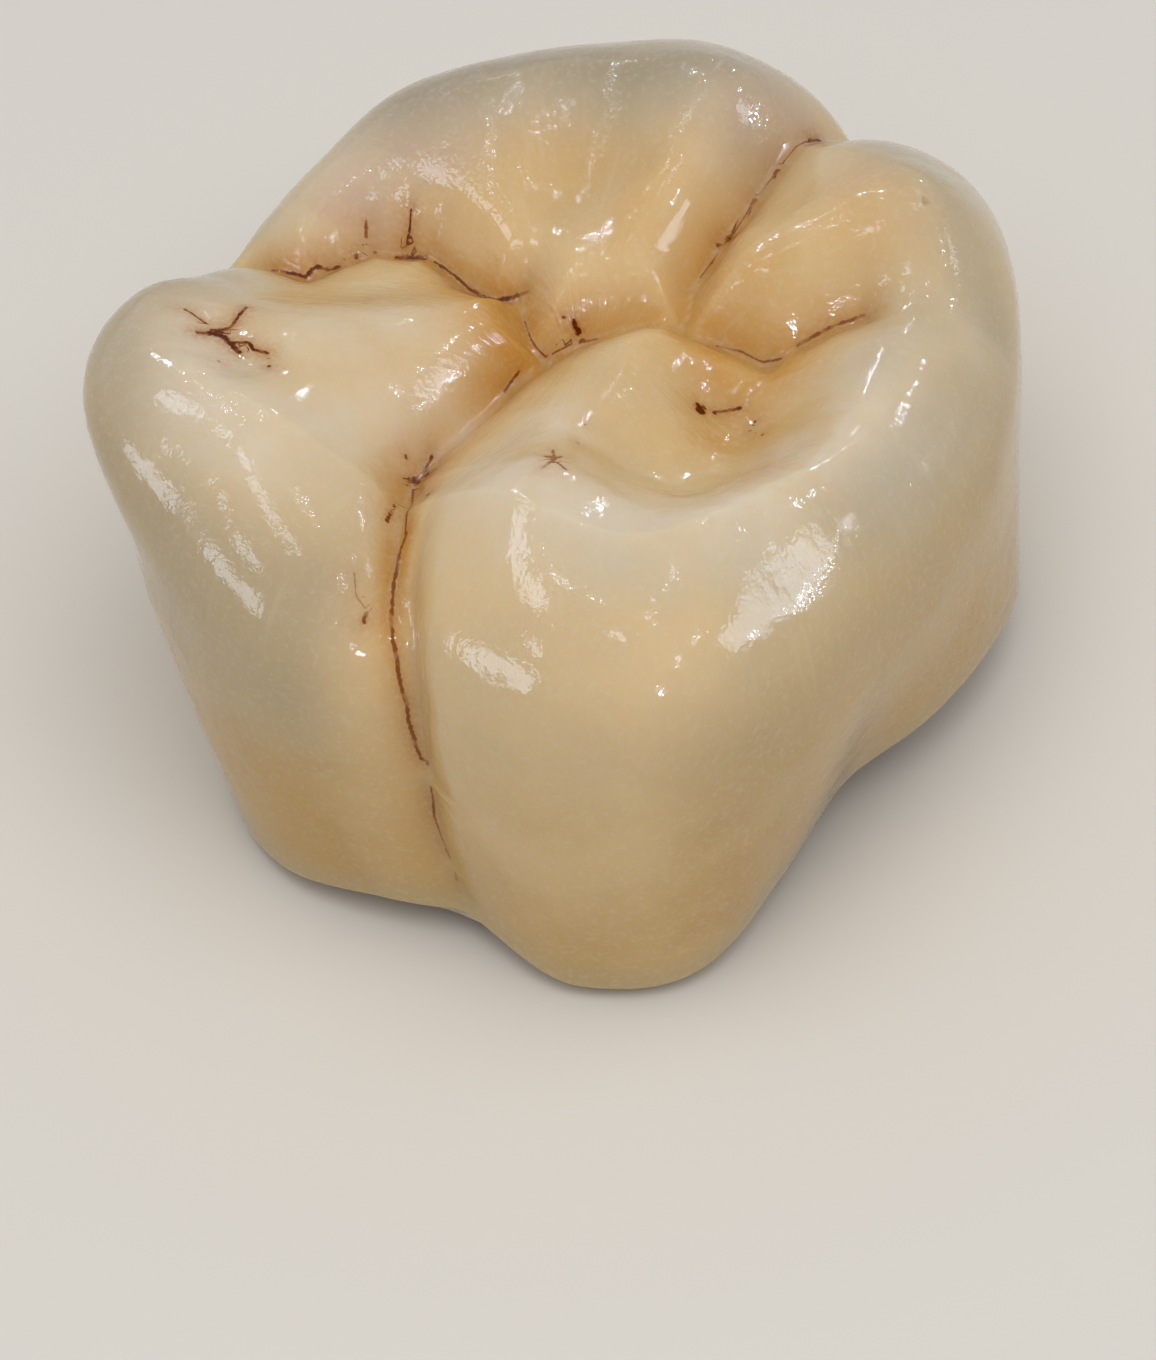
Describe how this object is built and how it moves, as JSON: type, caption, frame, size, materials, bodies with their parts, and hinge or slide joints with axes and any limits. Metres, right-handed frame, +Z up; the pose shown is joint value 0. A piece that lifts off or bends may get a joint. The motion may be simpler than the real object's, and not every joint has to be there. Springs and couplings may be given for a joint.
{
  "type": "dental crown",
  "caption": "Glazed ceramic cap for an upper molar: biting surface with cusps, ridges and stained fissures, bulging walls, scalloped thin margin and a hollow underside for the prepared tooth.",
  "frame": {"origin": "centre of the crown in plan, on the level surface that its margin stands on", "axes": "+Z up, from the margin to the biting surface; -Y is the front, the cheek side with the groove; +Y is the tongue side; +X is to the right seen from the front"},
  "size_m": [0.0107, 0.0116, 0.0071],
  "materials": {
    "porcelain": "high gloss glaze over layered translucent ivory porcelain, with brown stain in the fissures"
  },
  "bodies": {
    "root": {"crown": "porcelain"}
  },
  "joints": []
}
